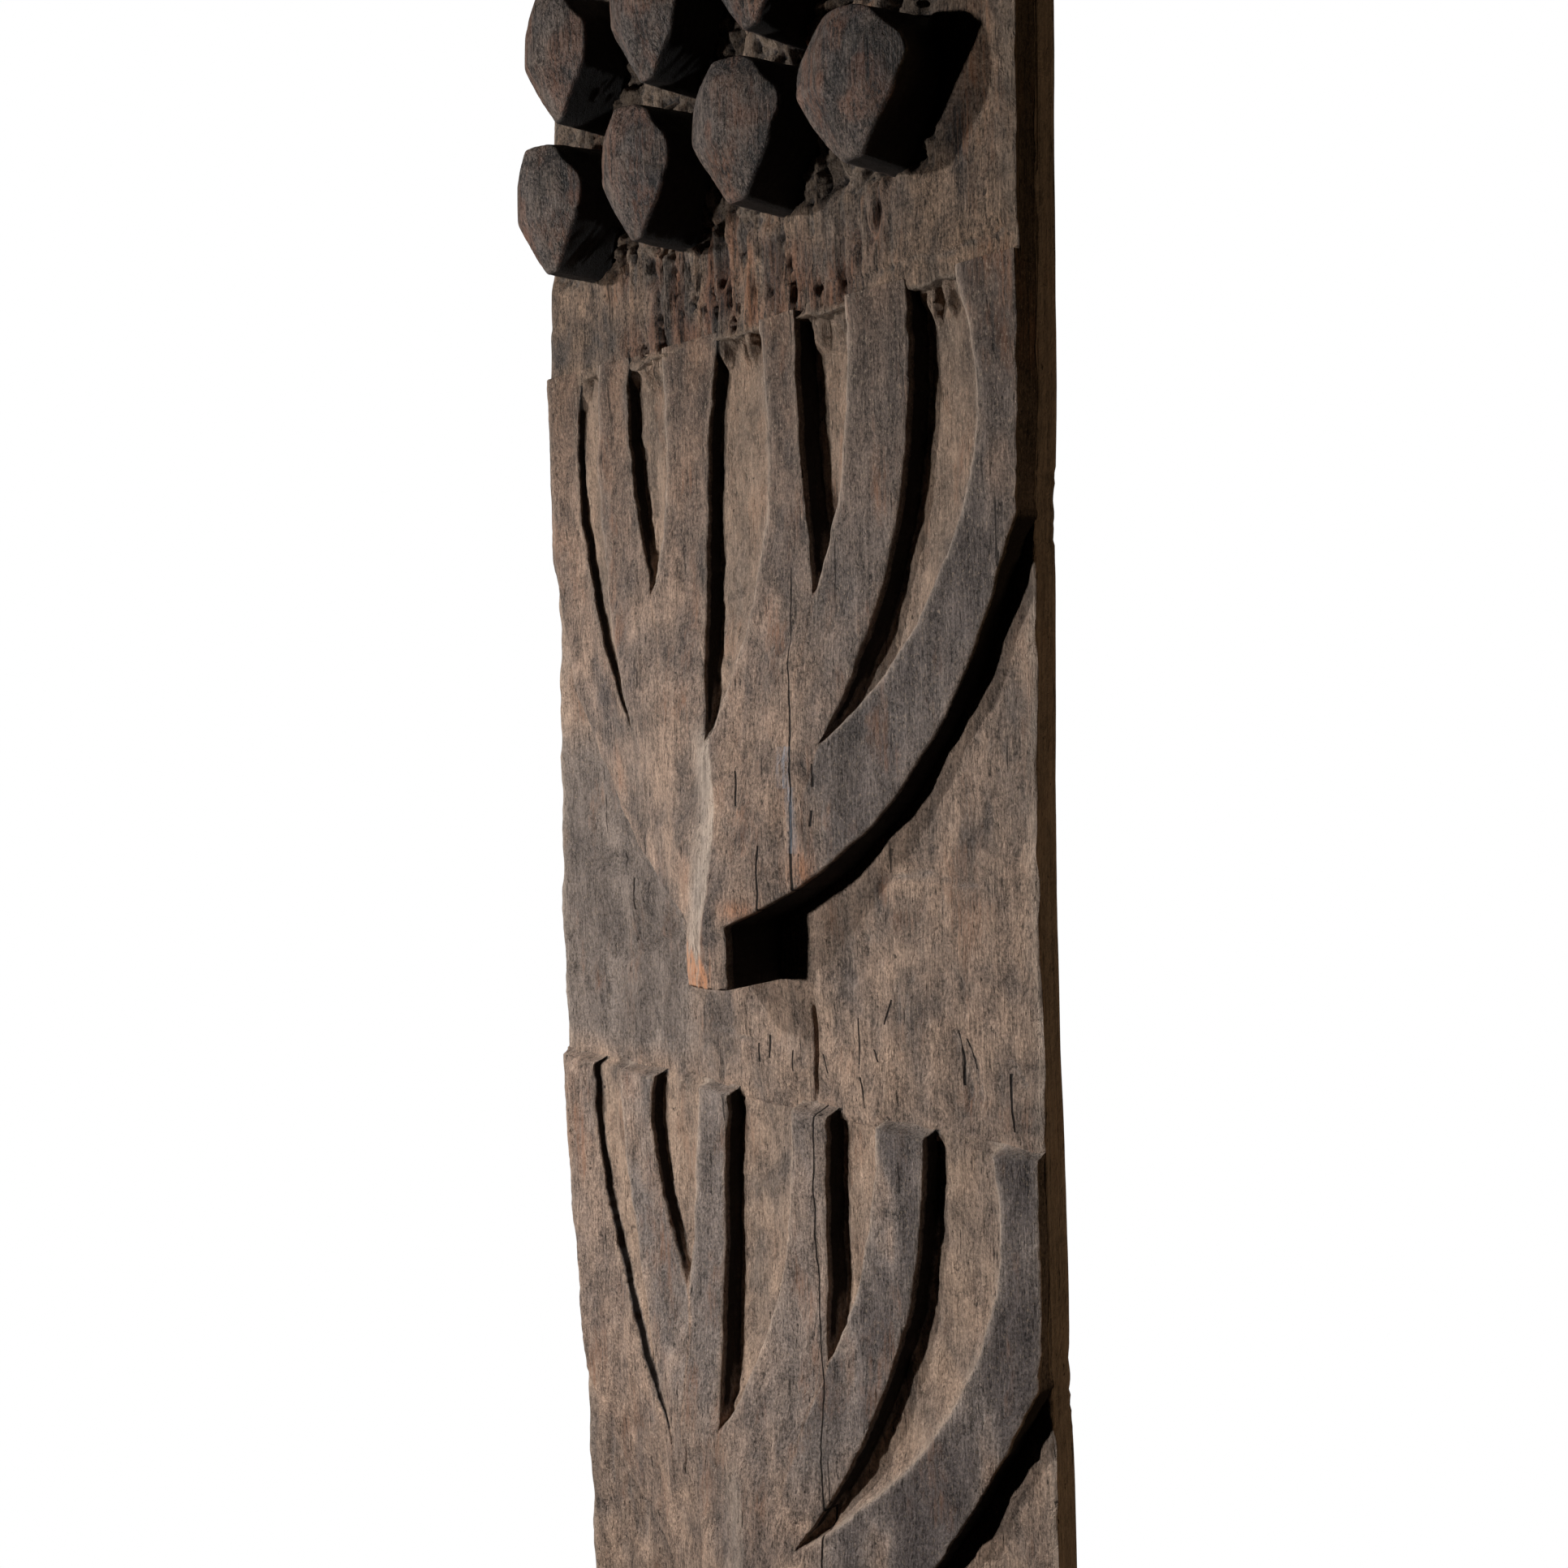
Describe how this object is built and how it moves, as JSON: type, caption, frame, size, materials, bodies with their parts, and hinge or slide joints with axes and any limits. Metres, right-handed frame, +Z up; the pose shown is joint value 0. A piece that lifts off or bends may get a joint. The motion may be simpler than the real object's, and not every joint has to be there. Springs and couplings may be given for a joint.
{
  "type": "carved wooden relief panel",
  "caption": "Tall hardwood plank carved in relief: rows of faceted pointed pods above two fans of raised curved fingers, each fan rising to a squared beak.",
  "frame": {"origin": "centre of the flat back face, at half the plank's height and on its middle line", "axes": "+Z up along the plank, +Y out of the back face, the carving faces -Y, +X to the right as seen from the front"},
  "size_m": [0.524, 0.104, 1.54],
  "materials": {
    "weathered_wood": "weathered, open grain, matt",
    "dark_wood": "darkened by age and handling, matt"
  },
  "bodies": {
    "root": {"plank": "weathered_wood", "field": "weathered_wood", "fan_upper": "weathered_wood", "beak_upper": "weathered_wood", "fan_lower": "weathered_wood", "beak_lower": "weathered_wood", "pod_low_1": "dark_wood", "pod_low_2": "dark_wood", "pod_low_3": "dark_wood", "pod_low_4": "dark_wood", "pod_high_1": "dark_wood", "pod_high_2": "dark_wood", "pod_high_3": "dark_wood", "pod_high_4": "dark_wood"}
  },
  "joints": []
}
